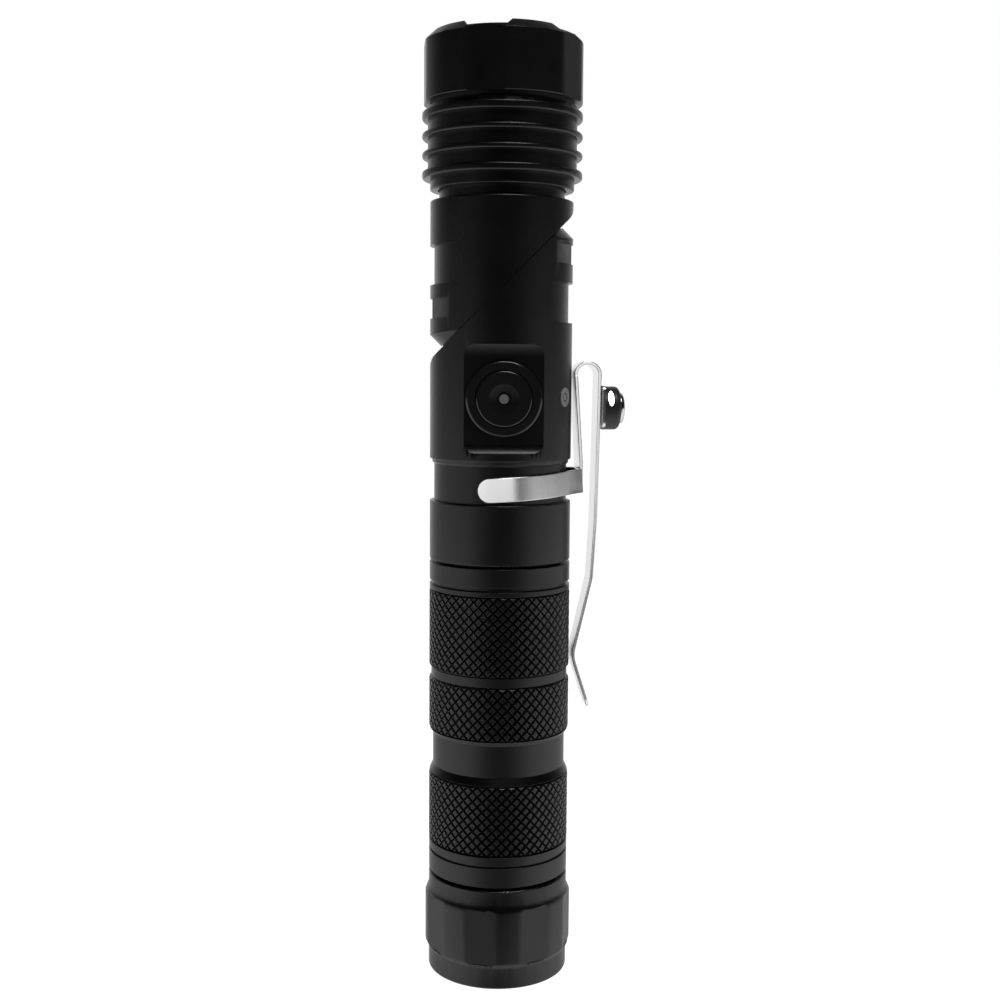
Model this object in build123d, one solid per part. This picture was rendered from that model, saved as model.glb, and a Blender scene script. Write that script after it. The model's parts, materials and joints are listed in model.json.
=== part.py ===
from build123d import *
import os
from math import acos, atan2, cos, degrees, radians, sin, sqrt

# Twist-head tactical flashlight, in millimetres. Origin: centre of the tail face. +Z runs up the tube
# to the lens, the side switch faces -Y, the head folds over towards -X and the clip hangs on +X.

# Driving dimensions
BODY_R = 13.0  # outside of the tube and housings, sized by the 18650 cell inside
CELL_R = 9.1
CELL_LENGTH = 65.2
CELL_FOOT_Z = 15.5
BORE_R = 9.6  # battery bore
THREAD_R = 11.9  # crest of every male body thread
THREAD_GAP = 0.08  # radial clearance of a screwed or sliding pair
THREAD_PITCH = 1.5
RUN_GAP = 0.05  # radial clearance of a turning pair

# Heights of the joints between the outside pieces
CAP_TOP_Z = 18.35
FLAT_COUNT = 8  # grip flats round the tail cap
TUBE_FOOT_Z = 19.0
TUBE_TOP_Z = 77.1
HOUSING_FOOT_Z = 77.6
CLIP_GROOVE_Z = (88.45, 96.1)
CLIP_GROOVE_R = 12.2
UPPER_TOP_Z = 142.6
HEAD_FOOT_Z = 144.5
NECK_TOP_Z = 149.3
HEAD_WALL_Z = 151.3  # underside of the wall that the lamp board is screwed to
FINS_TOP_Z = 158.6
BEZEL_FOOT_Z = 159.85
BEZEL_TOP_Z = 172.0
BEZEL_R = 14.45
FIN_R = 14.5
VALLEY_R = 13.5
RING_R = 13.05
NECK_R = 11.4
LAMP_SCREW_X = 8.4
LAMP_SCREW_R = 0.95

# Swivel: the two halves meet on a 45 degree plane and turn about its normal
SWIVEL_Z = 127.3
SPLIT_GAP = 0.2
TIP_TRIM_R = 15.35
PIVOT_R = 5.5
PIVOT_BORE_R = 3.5
WEB = 3.0  # thickness of the wall that the pivot passes through
NUT_R = 7.6
LEAD_TURN = 6.8  # along the pivot's axis, where the leads turn up the neck
NECK_ROOM_Z = 137.0
SEAL_GROOVE_R = (7.0, 8.25)
DETENT_X = 10.4  # distance of the detent ball from the swivel axis
DETENT_R = 0.8

# Switch
SWITCH_Z = 107.2
POCKET_FLOOR_Y = -10.9
POCKET_RIM_Y = -11.4  # the hollow ramps at both ends of the pocket reach up to here
POCKET_CORNER = 2.1
POCKET_Z = (97.6, 116.8)
POCKET_FLOOR_Z = (99.2, 114.6)
POCKET_WIDTH = 14.4
SWITCH_RING_R = 6.8
BUTTON_R = 5.0
WINDOW_R = 0.85

# Clip
CLIP_YAW = 4.0  # the clip hangs this far behind +X
STRIP = 0.6  # thickness of the spring strip
COLLAR_Z = (89.1, 93.45)  # edges of the collar where it crosses the body's axis
COLLAR_TILT = 3.2  # the collar sits this much higher at the clip than at its tips
COLLAR_WRAP = 115.0  # each arm reaches this far round from the clip's flat back
CLIP_FOOT_Z = 89.8
CLIP_BACK_X = 14.65  # middle of the strip at the flat back
CLIP_FOOT_TOP_Z = 95.3
HOOP_TOP_Z = 114.0
HOOP_X = (13.55, 18.05)  # middle of the strip on the two sides of the hoop
HOOP_MIDDLE = sum(HOOP_X) / 2  # the collar and the leaf part here
HOOP_GAP = 0.12
LEAF_WIDTH = 6.4
STUD_Z = 105.4
STUD_R = 4.0
PIN_BEARING = 243.0  # where the oval pin sits round the stud: in front, a little above its middle
STUD_X = 18.9  # foot of the stud

UP = Axis.Z
BASE = (Align.CENTER, Align.CENTER, Align.MIN)


def write(shape, node):
    """Writes one sub-part's STEP file under its node name."""
    export_step(shape, f"parts/{node}.step")


def tube(z_low, z_high, radius, bore=0.0):
    """A cylinder along Z between two heights, with an optional bore."""
    solid = Pos(0, 0, z_low) * Cylinder(radius, z_high - z_low, align=BASE)
    if bore > 0:
        solid -= Pos(0, 0, z_low - 1) * Cylinder(bore, z_high - z_low + 2, align=BASE)
    return solid


def is_corner(vertex, points):
    """Whether a vertex of a face is one of the outline's points."""
    return any(abs(vertex.X - p[0]) + abs(vertex.Y - p[1]) < 1e-6 for p in points)


def turned(outline):
    """A solid turned about Z from (radius, height[, corner rounding]) points."""
    face = make_face(Polyline(*[(p[0], p[1]) for p in outline], close=True))
    for rounding in sorted({p[2] for p in outline if len(p) > 2}):
        marked = [p for p in outline if len(p) > 2 and p[2] == rounding]
        corners = [v for v in face.vertices() if is_corner(v, marked)]
        face = fillet(corners, rounding)
    return revolve(Plane.XZ * face, UP)


def torus(radius, section, height):
    """An O-ring about Z."""
    return Pos(0, 0, height) * Torus(radius, section)


def thread_outline(crest, root, z_low, z_high):
    """Saw-tooth points up a screw thread between two heights, crest and root alternating."""
    count = int((z_high - z_low) / THREAD_PITCH)
    points = []
    for i in range(count):
        foot = z_low + i * THREAD_PITCH
        points.append((root, foot))
        points.append((root, foot + 0.25 * THREAD_PITCH))
        points.append((crest, foot + 0.55 * THREAD_PITCH))
        points.append((crest, foot + 0.70 * THREAD_PITCH))
    points.append((root, z_low + count * THREAD_PITCH))
    return points


def on_bearing(angle, radius=0.0, height=0.0):
    """A place on the body: angle from the front (-Y) towards +X, its local X pointing outwards."""
    return Rot(0, 0, angle - 90) * Pos(radius, 0, height)


# Swivel frame: local Z is the swivel axis, which points up and towards -X
SWIVEL = Plane(origin=(0, 0, SWIVEL_Z), x_dir=(1, 0, 1), z_dir=(-1, 0, 1))


def half_space(above):
    """A large block on one side of the split plane, half the split gap clear of it."""
    block = Pos(0, 0, SPLIT_GAP / 2) * Cylinder(60, 80, align=BASE)
    if not above:
        block = Rot(180, 0, 0) * block
    return SWIVEL * block


def tip_trim(direction):
    """What lies outside the circle swept by the sharp tip of a half: direction is 1 for the +X tip."""
    ring = SWIVEL * (Cylinder(40, 16) - Cylinder(TIP_TRIM_R, 18))
    return ring & Pos(direction * 30, 0, SWIVEL_Z) * Box(60, 60, 60)


def flats_recess(side, z_low, z_high, facet_distance):
    """Three milled facets on one long side: side is 90 for +X or 270 for -X."""
    facet_step = 27
    facet_width = 9
    cutter = Part()
    for angle in (side - facet_step, side, side + facet_step):
        block = Box(4, facet_width, z_high - z_low, align=(Align.MIN, Align.CENTER, Align.MIN))
        cutter += on_bearing(angle, facet_distance, z_low) * block
    return cutter


def crescent_recess(side, z_low, z_high):
    """A shallow recess turned off-centre, deepest on the long side and fading out round it."""
    turn_r = 14.35
    shift = -2.1
    direction = 1 if side == 90 else -1
    cutter = tube(z_low, z_high, 16) - Pos(direction * shift, 0, z_low - 1) * Cylinder(turn_r, 30, align=BASE)
    return cutter & Pos(direction * 10, 0, z_low) * Box(20, 40, 40, align=BASE)


def blunt_corner(above):
    """What the turned tool takes off the blunt corner where the split plane meets the short side."""
    corner_r = BODY_R * sqrt(2)
    start = (corner_r - 0.7, -SPLIT_GAP / 2)
    middle = (corner_r - 0.1, -SPLIT_GAP / 2 - 0.16)
    end = (corner_r + 0.6, -SPLIT_GAP / 2 - 0.58)
    face = make_face(Polyline((start[0], 1), start, middle, end, (22, end[1]), (22, 1), close=True))
    tool = revolve(Plane.XZ * face, UP)
    return SWIVEL * (Rot(180, 0, 0) * tool if above else tool)


def switch_housing():
    """Lower swivel half, switch body and clip collar seat in one turned and milled piece."""
    groove_low, groove_high = CLIP_GROOVE_Z
    edge = 0.25
    outline = [
        (0, HOUSING_FOOT_Z),
        (BODY_R, HOUSING_FOOT_Z, edge),
        (BODY_R, groove_low, edge),
        (CLIP_GROOVE_R, groove_low),
        (CLIP_GROOVE_R, groove_high - 0.9),
        (CLIP_GROOVE_R + 0.35, groove_high - 0.55),
        (CLIP_GROOVE_R + 0.35, groove_high),
        (BODY_R, groove_high, edge),
        (BODY_R, 150),
        (0, 150),
    ]
    body = turned(outline)
    body -= crescent_recess(90, 120.8, 128.0)
    body -= flats_recess(90, 131.3, 135.0, 12.45)
    body = body & half_space(above=False)
    body -= tip_trim(1)
    body -= blunt_corner(above=False)
    # threaded socket, driver seat and inner room
    socket_top = 86.8
    socket = turned(
        [(0, HOUSING_FOOT_Z - 1), (THREAD_R + 0.5, HOUSING_FOOT_Z - 1)]
        + [(THREAD_R + 0.5, HOUSING_FOOT_Z + 0.3)]
        + [(THREAD_R + THREAD_GAP, HOUSING_FOOT_Z + 0.7), (THREAD_R + THREAD_GAP, 79.9)]
        + thread_outline(THREAD_R + THREAD_GAP, THREAD_R + 0.35, 80.0, 86.5)[1:]
        + [(THREAD_R + 0.35, socket_top), (0, socket_top)]
    )
    body -= socket
    body -= tube(socket_top - 0.1, 90.2, 10.2)
    room = tube(90.1, 125.0, 9.0) - SWIVEL * (Pos(0, 0, -WEB - 4.5) * Cylinder(60, 60, align=BASE))
    body -= room
    # swivel bore, nut room, seal groove and detent pocket
    nut_room = WEB + 5.0
    body -= SWIVEL * (Pos(0, 0, -nut_room) * Cylinder(PIVOT_R + RUN_GAP, 30, align=BASE))
    body -= SWIVEL * (Pos(0, 0, -nut_room) * Cylinder(NUT_R + 0.4, nut_room - WEB, align=BASE))
    groove_inner, groove_outer = SEAL_GROOVE_R
    groove = Cylinder(groove_outer, 3, align=BASE) - Cylinder(groove_inner, 3, align=BASE)
    body -= SWIVEL * (Pos(0, 0, -1.1) * groove)
    body -= SWIVEL * (Pos(DETENT_X, 0, -4.0) * Cylinder(DETENT_R + RUN_GAP, 6, align=BASE))
    # switch pocket and the hole through its floor
    low, high = POCKET_Z
    floor_low, floor_high = POCKET_FLOOR_Z
    ramp_middle_y = 0.72 * POCKET_FLOOR_Y + 0.28 * POCKET_RIM_Y
    section = make_face(
        Line((POCKET_FLOOR_Y, floor_low), (POCKET_FLOOR_Y, floor_high))
        + ThreePointArc(
            (POCKET_FLOOR_Y, floor_high),
            (ramp_middle_y, (high + floor_high) / 2 + 0.06),
            (POCKET_RIM_Y, high),
        )
        + Polyline((POCKET_RIM_Y, high), (-14.5, high), (-14.5, low), (POCKET_RIM_Y, low))
        + ThreePointArc(
            (POCKET_RIM_Y, low),
            (ramp_middle_y, (low + floor_low) / 2 - 0.06),
            (POCKET_FLOOR_Y, floor_low),
        )
    )
    wedge = extrude(Plane.YZ * section, 20, both=True)
    window = Plane.XZ * Pos(0, (low + high) / 2) * RectangleRounded(
        POCKET_WIDTH, high - low, POCKET_CORNER
    )
    body -= wedge & extrude(window, 30)
    hole = Plane.XZ * Pos(0, SWITCH_Z) * Circle(SWITCH_RING_R + RUN_GAP)
    body -= extrude(hole, 30)
    # charging contact hole
    body -= on_bearing(60, 0, SWITCH_Z + 0.3) * Rot(0, 90, 0) * Cylinder(1.8, 20, align=BASE)
    return body


def switch_parts():
    """Side switch: fixed ring, button with its window and plunger, tactile switch and board."""
    face = Plane.XZ * Pos(0, SWITCH_Z)
    floor = -POCKET_FLOOR_Y

    def barrel(depth_low, depth_high, radius, bore=0.0):
        """A round piece along -Y between two distances in front of the body's axis."""
        sketch = Circle(radius)
        if bore > 0:
            sketch -= Circle(bore)
        return extrude(Plane.XZ.offset(depth_low) * Pos(0, SWITCH_Z) * sketch, depth_high - depth_low)

    rim = fillet(barrel(floor - 1.9, floor + 0.75, SWITCH_RING_R).edges().group_by(Axis.Y)[0], 0.5)
    bore = barrel(floor - 3, floor + 2, BUTTON_R + 0.15)
    ring = rim - bore - barrel(floor - 3, floor - 0.9, BUTTON_R + 1.0)
    write(ring, "switch_ring")

    button = barrel(floor - 1.9, floor + 0.95, BUTTON_R)
    button += barrel(floor - 1.9, floor - 1.0, BUTTON_R + 0.8)
    button = fillet(button.edges().group_by(Axis.Y)[0], 0.35)
    button -= Pos(0, -(floor + 0.95) - 11.7, SWITCH_Z) * Sphere(12.0)
    button -= barrel(floor + 0.4, floor + 2, WINDOW_R + 0.45)
    button -= barrel(floor - 0.2, floor + 2, WINDOW_R + RUN_GAP)
    write(button, "switch_button")
    write(barrel(floor - 0.2, floor + 0.5, WINDOW_R), "button_window")
    write(barrel(6.9, floor - 1.9, 1.6), "switch_plunger")

    tact = Pos(0, -6.45, SWITCH_Z) * Box(6.0, 1.9, 6.0) - barrel(5.9, 8, 1.6 + RUN_GAP)
    write(tact, "tactile_switch")
    write(Pos(0, -5.75, SWITCH_Z - 4.6) * Box(1.6, 0.6, 0.8), "indicator_led")
    board = extrude(Plane.XZ.offset(4.4) * Pos(0, 104.9) * RectangleRounded(10, 12.6, 1.5), 1.0)
    write(board, "switch_board")


def charge_contacts():
    """Magnetic charging contact in the housing wall: pin, insulator and outer ring."""
    place = on_bearing(60, 0, SWITCH_Z + 0.3) * Rot(0, 90, 0)

    def plug(radius, bore, low, high):
        solid = Pos(0, 0, low) * Cylinder(radius, high - low, align=BASE)
        if bore > 0:
            solid -= Pos(0, 0, low - 1) * Cylinder(bore, high - low + 2, align=BASE)
        return place * solid

    pin_r = 0.6
    insulator_r = 0.8
    write(plug(pin_r, 0, 10.2, 13.0), "charge_pin")
    write(plug(insulator_r, pin_r, 10.2, 12.95), "charge_insulator")
    write(plug(1.75, insulator_r, 10.2, 13.02), "charge_ring")


def lead_x():
    """Where the leads turn from the pivot's axis to run up the neck, across."""
    return -LEAD_TURN / sqrt(2)


def lead_z():
    """Where the leads turn from the pivot's axis to run up the neck, in height."""
    return SWIVEL_Z + LEAD_TURN / sqrt(2)


def swivel_upper():
    """Upper swivel half with the neck that the lamp head screws onto and the hollow pivot."""
    outline = [
        (0, 100),
        (BODY_R, 100),
        (BODY_R, UPPER_TOP_Z, 0.3),
        (NECK_R, UPPER_TOP_Z),
        (NECK_R, 144.6),
    ]
    outline += thread_outline(NECK_R - 0.2, NECK_R - 0.6, 145.0, NECK_TOP_Z)
    outline += [(NECK_R - 0.6, NECK_TOP_Z), (0, NECK_TOP_Z)]
    body = turned(outline)
    body -= crescent_recess(270, 127.5, 134.6)
    body -= flats_recess(270, 121.5, 125.1, 12.6)
    body = body & half_space(above=True)
    body -= tip_trim(-1)
    body -= blunt_corner(above=True)
    body += SWIVEL * (Pos(0, 0, -WEB - 3.6) * Cylinder(PIVOT_R, WEB + 6, align=BASE))
    body -= SWIVEL * (Pos(0, 0, -10) * Cylinder(PIVOT_BORE_R, 10 + LEAD_TURN, align=BASE))
    body -= Pos(lead_x(), 0, lead_z()) * Cylinder(PIVOT_BORE_R, 8, align=BASE)
    body -= Pos(lead_x(), 0, lead_z()) * Sphere(PIVOT_BORE_R)
    body -= tube(NECK_ROOM_Z, 160.0, 7.0)
    return body


def swivel_parts():
    """What holds and seals the swivel: nut, friction washer, seal, detent ball and spring."""
    nut_low = -WEB - 3.5
    nut = Pos(0, 0, nut_low) * (Cylinder(NUT_R, 2.8, align=BASE) - Cylinder(PIVOT_R, 2.8, align=BASE))
    for angle in (0, 180):
        nut -= Rot(0, 0, angle) * Pos(NUT_R - 0.6, 0, nut_low - 1) * Box(1.6, 1.4, 5, align=BASE)
    write(SWIVEL * nut, "pivot_nut")
    washer = Pos(0, 0, -WEB - 0.6) * (
        Cylinder(NUT_R - 0.1, 0.55, align=BASE) - Cylinder(PIVOT_R + RUN_GAP, 0.55, align=BASE)
    )
    write(SWIVEL * washer, "friction_washer")
    write(SWIVEL * Pos(0, 0, -0.48) * Torus(sum(SEAL_GROOVE_R) / 2, 0.5), "swivel_oring")
    write(SWIVEL * Pos(DETENT_X, 0, -0.86) * Sphere(DETENT_R), "detent_ball")
    coil = Pos(0, 0, -4.0) * (Cylinder(0.75, 2.35, align=BASE) - Cylinder(0.45, 2.35, align=BASE))
    write(SWIVEL * Pos(DETENT_X, 0, 0) * coil, "detent_spring")


def slip_washer():
    """Thin washer that fills the split, so that the two halves turn on it and no light shows through."""
    thickness = SPLIT_GAP - 0.04
    set_back = 0.3
    hole_r = SEAL_GROOVE_R[1] + 0.15
    disc = Cylinder(TIP_TRIM_R - set_back, thickness) - Cylinder(hole_r, thickness)
    disc -= Pos(DETENT_X, 0, 0) * Cylinder(DETENT_R + 0.2, thickness)
    write((SWIVEL * disc) & tube(100, 150, BODY_R - set_back), "slip_washer")


def led_leads():
    """The two insulated leads that run down the hollow pivot to the driver."""
    lead_r = 0.6
    low_end = -WEB - 3.0
    top_z = HEAD_WALL_Z - 1.1
    leads = Part()
    for y in (-1.2, 1.2):
        leads += SWIVEL * (Pos(0, y, low_end) * Cylinder(lead_r, LEAD_TURN - low_end, align=BASE))
        leads += Pos(lead_x(), y, lead_z()) * Cylinder(lead_r, top_z - lead_z(), align=BASE)
        leads += Pos(lead_x(), y, lead_z()) * Sphere(lead_r)
    write(leads, "led_leads")


def battery_tube():
    """Tube for the cell, with a screwed neck at each end and bands turned for the knurling."""
    smooth_r = 12.3
    edge = 0.25
    outline = [
        (BORE_R, 8.6),
        (THREAD_R - 0.5, 8.6),
    ]
    outline += thread_outline(THREAD_R, THREAD_R - 0.45, 8.9, 15.7)
    outline += [
        (THREAD_R, 15.75),
        (10.95, 15.8),
        (10.95, 17.6),
        (THREAD_R, 17.65),
        (THREAD_R, TUBE_FOOT_Z),
        (BODY_R, TUBE_FOOT_Z, edge),
        (BODY_R, 22.6, edge),
        (12.6, 22.65),
        (12.6, 23.05),
        (BODY_R, 23.1, edge),
        (BODY_R, 37.65),
        (smooth_r, 39.1),
        (smooth_r, 45.0),
        (BODY_R, 45.8),
        (BODY_R, 55.6),
        (12.65, 55.75),
        (12.65, 57.4),
        (BODY_R, 57.55),
        (BODY_R, 73.0, edge),
        (12.45, 73.05),
        (12.45, 73.75),
        (BODY_R, 73.8, edge),
        (BODY_R, TUBE_TOP_Z, edge),
        (THREAD_R, TUBE_TOP_Z),
        (THREAD_R, 78.0),
        (10.95, 78.05),
        (10.95, 79.75),
        (THREAD_R, 79.8),
    ]
    outline += thread_outline(THREAD_R, THREAD_R - 0.45, 80.0, 86.2)[1:]
    outline += [(THREAD_R - 0.5, 86.4), (BORE_R, 86.4)]
    write(turned(outline), "battery_tube")
    write(torus(11.45, 0.48, 16.7), "rear_oring")
    write(torus(11.45, 0.48, 78.9), "front_oring")


def battery():
    """An 18650 cell: steel can, shrink wrap and the raised positive cap."""
    top = CELL_FOOT_Z + CELL_LENGTH
    can = [(0, CELL_FOOT_Z), (CELL_R, CELL_FOOT_Z, 0.8), (CELL_R, top - 3.2, 0.3)]
    can += [(CELL_R - 0.35, top - 2.8), (CELL_R - 0.35, top - 2.4), (CELL_R, top - 2.0, 0.3)]
    can += [(CELL_R, top, 0.8), (0, top)]
    write(turned(can), "battery_cell")
    write(tube(CELL_FOOT_Z + 1.0, top - 1.0, CELL_R + 0.2, CELL_R + 0.02), "battery_wrap")
    write(turned([(0, top), (3.2, top), (3.2, top + 1.4, 0.4), (0, top + 1.4)]), "battery_positive_cap")


def coil_spring(z_low, z_high, radius_low, radius_high, wire):
    """A conical compression spring with one dead turn drawn as a flat ring at its wide end."""
    turns = 4.0
    rise = z_high - z_low - 2 * wire
    cone = degrees(atan2(radius_high - radius_low, rise))
    path = Helix(rise / turns, rise, radius_low, center=(0, 0, z_low + wire), cone_angle=cone)
    start = Plane(origin=path @ 0, z_dir=path % 0)
    return sweep(start * Circle(wire), path=path, is_frenet=True)


def driver_parts():
    """Driver electronics above the cell and the ring that clamps them."""
    write(tube(88.6, 90.15, 10.1) - Pos(0, 6, 88) * Cylinder(1.0, 4, align=BASE), "driver_board")
    retaining = tube(86.95, 88.55, 10.1, 7.6)
    for angle in (0, 180):
        retaining -= Rot(0, 0, angle) * Pos(8.9, 0, 86) * Box(1.4, 1.6, 4, align=BASE)
    write(retaining, "driver_retaining_ring")
    write(coil_spring(82.1, 88.6, 3.0, 5.4, 0.4), "front_contact_spring")


def tail_cap():
    """Tail cap: plain foot, eight flats for grip, chamfers and a screwed socket."""
    facet_r = 13.65
    socket_floor = 7.4
    outline = [
        (0, 0),
        (BODY_R, 0, 0.4),
        (BODY_R, 3.7),
        (facet_r, 5.1),
        (facet_r, 14.2),
        (BODY_R, 15.8),
        (BODY_R, CAP_TOP_Z, 0.25),
        (THREAD_R + 0.5, CAP_TOP_Z),
        (THREAD_R + 0.2, CAP_TOP_Z - 0.4),
        (THREAD_R + 0.2, 15.9),
    ]
    outline += thread_outline(THREAD_R + THREAD_GAP, THREAD_R + 0.35, 8.3, 15.8)[::-1]
    outline += [(THREAD_R + 0.35, socket_floor), (10.2, socket_floor), (10.2, 2.9), (0, 2.9)]
    body = turned(outline)
    flat_distance = facet_r * cos(radians(13.5))
    flat_step = 360 / FLAT_COUNT
    for i in range(FLAT_COUNT):
        flat = Box(4, 12, 10.1, align=(Align.MIN, Align.CENTER, Align.MIN))
        body -= on_bearing(28.5 + flat_step * i, flat_distance, 4.6) * flat
    write(body, "tail_cap")
    write(tube(2.95, 5.2, 8.0), "tail_magnet")
    write(tube(5.25, 6.45, 10.1), "tail_contact_board")
    ring = tube(6.5, 8.0, 11.4, 8.2) & (tube(6.4, 7.4, 10.1) + tube(7.4, 9, 11.9))
    for angle in (0, 180):
        ring -= Rot(0, 0, angle) * Pos(9.4, 0, 5) * Box(1.6, 1.6, 4, align=BASE)
    write(ring, "tail_retaining_ring")
    write(coil_spring(6.45, CELL_FOOT_Z, 6.6, 4.2, 0.45), "tail_spring")


def finned_head():
    """Lamp head: screwed ring, four cooling fins, a wall for the lamp board and a bezel thread."""
    inner_r = 12.0
    edge = 0.4
    outline = [(NECK_R + 0.25, HEAD_FOOT_Z), (RING_R, HEAD_FOOT_Z, 0.2)]
    fins = ((147.15, 1.4), (150.65, 1.05), (154.05, 1.05), (157.6, 1.5))
    outline += [(RING_R, fins[0][0] - fins[0][1] / 2)]
    for middle, width in fins:
        low = middle - width / 2
        high = middle + width / 2
        if middle != fins[0][0]:
            outline += [(VALLEY_R, low)]
        outline += [(FIN_R, low, edge), (FIN_R, high, edge), (VALLEY_R, high)]
    outline += [(VALLEY_R, 159.2), (13.0, 159.2), (12.9, 165.9), (inner_r, 165.9), (inner_r, 153.2)]
    outline += [(3.0, 153.2), (3.0, HEAD_WALL_Z), (NECK_R - 0.1, HEAD_WALL_Z)]
    outline += [(NECK_R - 0.1, 145.9), (NECK_R + 0.25, 145.8)]
    body = turned(outline)
    for x in (-LAMP_SCREW_X, LAMP_SCREW_X):
        body -= Pos(x, 0, 150) * Cylinder(LAMP_SCREW_R + 0.03, 10, align=BASE)
    return body


def bezel_ring():
    """Crenellated bezel with five flats, a top chamfer and the lip that holds the lens."""
    first_flat = -15
    flat_count = 5
    half_foot = 3.6
    half_top = 4.6
    outline = [
        (BEZEL_R, BEZEL_FOOT_Z, 0.25),
        (BEZEL_R, BEZEL_TOP_Z - 1.6, 0.15),
        (BEZEL_R - 1.6, BEZEL_TOP_Z, 0.15),
        (11.2, BEZEL_TOP_Z, 0.3),
        (10.8, 169.6),
        (12.45, 169.6),
        (12.45, 166.0),
        (13.05, 165.9),
        (13.05, BEZEL_FOOT_Z),
    ]
    body = turned(outline)
    flat_distance = BEZEL_R * cos(radians(14.2))
    for i in range(flat_count):
        angle = first_flat + 360 / flat_count * i
        flat = Box(4, 12, 20, align=(Align.MIN, Align.CENTER, Align.MIN))
        body -= on_bearing(angle, flat_distance, BEZEL_FOOT_Z - 1) * flat
        notch = make_face(
            Polyline((-half_foot, 0), (half_foot, 0), (half_top, 1.5), (-half_top, 1.5), close=True)
        )
        cutter = extrude(Plane.YZ * notch, 10)
        body -= on_bearing(angle, 8, BEZEL_TOP_Z - 0.95) * cutter
    return body


def lamp_parts():
    """Optics and lamp: lens, gasket, reflector, LED on its copper board, centring ring, screws."""
    write(turned([(0, 167.35), (12.35, 167.35, 0.15), (12.35, 168.95, 0.15), (0, 168.95)]), "front_lens")
    write(tube(168.98, 169.58, 12.35, 11.2), "lens_gasket")

    focal = 2.1
    vertex_z = 153.0
    rim_z = 167.3
    foot_z = 156.05
    foot_r = sqrt(4 * focal * (foot_z - vertex_z))
    rim_r = sqrt(4 * focal * (rim_z - vertex_z))
    mid_z = (foot_z + rim_z) / 2 - 2.2
    mid_r = sqrt(4 * focal * (mid_z - vertex_z))
    wall = 0.85
    bowl = ThreePointArc((foot_r, foot_z), (mid_r, mid_z), (rim_r, rim_z))
    back = ThreePointArc((11.6, 165.6), (mid_r + wall, mid_z - 0.2), (foot_r + wall, foot_z))
    section = make_face(
        [
            bowl,
            Line((rim_r, rim_z), (12.35, rim_z)),
            Line((12.35, rim_z), (12.35, 166.0)),
            Line((12.35, 166.0), (11.6, 166.0)),
            Line((11.6, 166.0), (11.6, 165.6)),
            back,
            Line((foot_r + wall, foot_z), (foot_r, foot_z)),
        ]
    )
    write(revolve(Plane.XZ * section, UP), "reflector")
    write(tube(154.85, 156.0, 5.8) - Pos(0, 0, 154) * Box(5.1, 5.1, 4, align=BASE), "led_centering_ring")
    emitter = Pos(0, 0, 154.8) * Box(5.0, 5.0, 0.7, align=BASE)
    emitter += (Pos(0, 0, 155.3) * Sphere(2.0)) & Pos(0, 0, 155.4) * Box(6, 6, 4, align=BASE)
    write(emitter, "led_emitter")
    board = tube(153.25, 154.8, 10.4)
    screws = Part()
    for x in (-LAMP_SCREW_X, LAMP_SCREW_X):
        board -= Pos(x, 0, 150) * Cylinder(LAMP_SCREW_R + 0.1, 10, align=BASE)
        screws += Pos(x, 0, 154.8) * Cylinder(1.7, 1.1, align=BASE)
        screws -= Pos(x, 0, 155.4) * Box(2.4, 0.45, 2, align=BASE)
        screws += Pos(x, 0, 151.6) * Cylinder(LAMP_SCREW_R, 3.3, align=BASE)
    write(board, "led_board")
    write(screws, "led_board_screws")


def neck_seal():
    """O-ring under the lamp head's wall, carried up and down by the head."""
    section = 0.4
    write(torus(NECK_R - 0.85, section, HEAD_WALL_Z - section - 0.1), "neck_oring")


def strip_outline(points, radii, thickness):
    """Closed outline of a bent strip: its middle line offset both ways, bends rounded to suit."""
    half = thickness / 2
    vectors = [Vector(*p) for p in points]
    normals = []
    for a, b in zip(vectors[:-1], vectors[1:]):
        run = (b - a).normalized()
        normals.append(Vector(-run.Y, run.X))
    sides = []
    for sign in (1, -1):
        line = [vectors[0] + normals[0] * half * sign]
        bends = []
        for i in range(1, len(vectors) - 1):
            before, after = normals[i - 1], normals[i]
            bisector = (before + after).normalized()
            reach = half / bisector.dot(before)
            line.append(vectors[i] + bisector * reach * sign)
            turn_left = before.X * after.Y - before.Y * after.X > 0
            bends.append(radii[i - 1] - half if turn_left == (sign > 0) else radii[i - 1] + half)
        line.append(vectors[-1] + normals[-1] * half * sign)
        sides.append(FilletPolyline(*line, radius=bends))
    ends = [Line(sides[0] @ 0, sides[1] @ 0), Line(sides[0] @ 1, sides[1] @ 1)]
    return make_face(sides + ends)


def clip_strip():
    """The whole leaf, from the foot on the collar over the hoop and down to the flared tip."""
    path = [
        (CLIP_BACK_X, CLIP_FOOT_Z),
        (CLIP_BACK_X, CLIP_FOOT_TOP_Z),
        (HOOP_X[0], HOOP_TOP_Z - STRIP / 2),
        (HOOP_X[1], HOOP_TOP_Z - STRIP / 2),
        (17.5, 84.7),
        (16.9, 73.9),
        (13.5, 59.1),
        (16.7, 49.4),
    ]
    section = strip_outline(path, [6, 2.1, 2.1, 60, 10, 6], STRIP)
    solid = extrude(Plane.XZ * section, 6, both=True)
    half = LEAF_WIDTH / 2
    right_edge = [(half, 116), (half, 80), (half - 0.6, 51), (half - 1.6, 48.9)]
    left_edge = [(-y, z) for y, z in reversed(right_edge)]
    widths = make_face(Polyline(*right_edge, *left_edge, close=True))
    return solid & extrude(Plane.YZ * widths, 30)


def inner_side(offset):
    """A block on the body's side of the hoop's middle, above the leaf's bend, moved out by an offset."""
    block = 60
    return Pos(HOOP_MIDDLE + offset - block / 2, 0, 88) * Box(block, block, 40, align=BASE)


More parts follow.
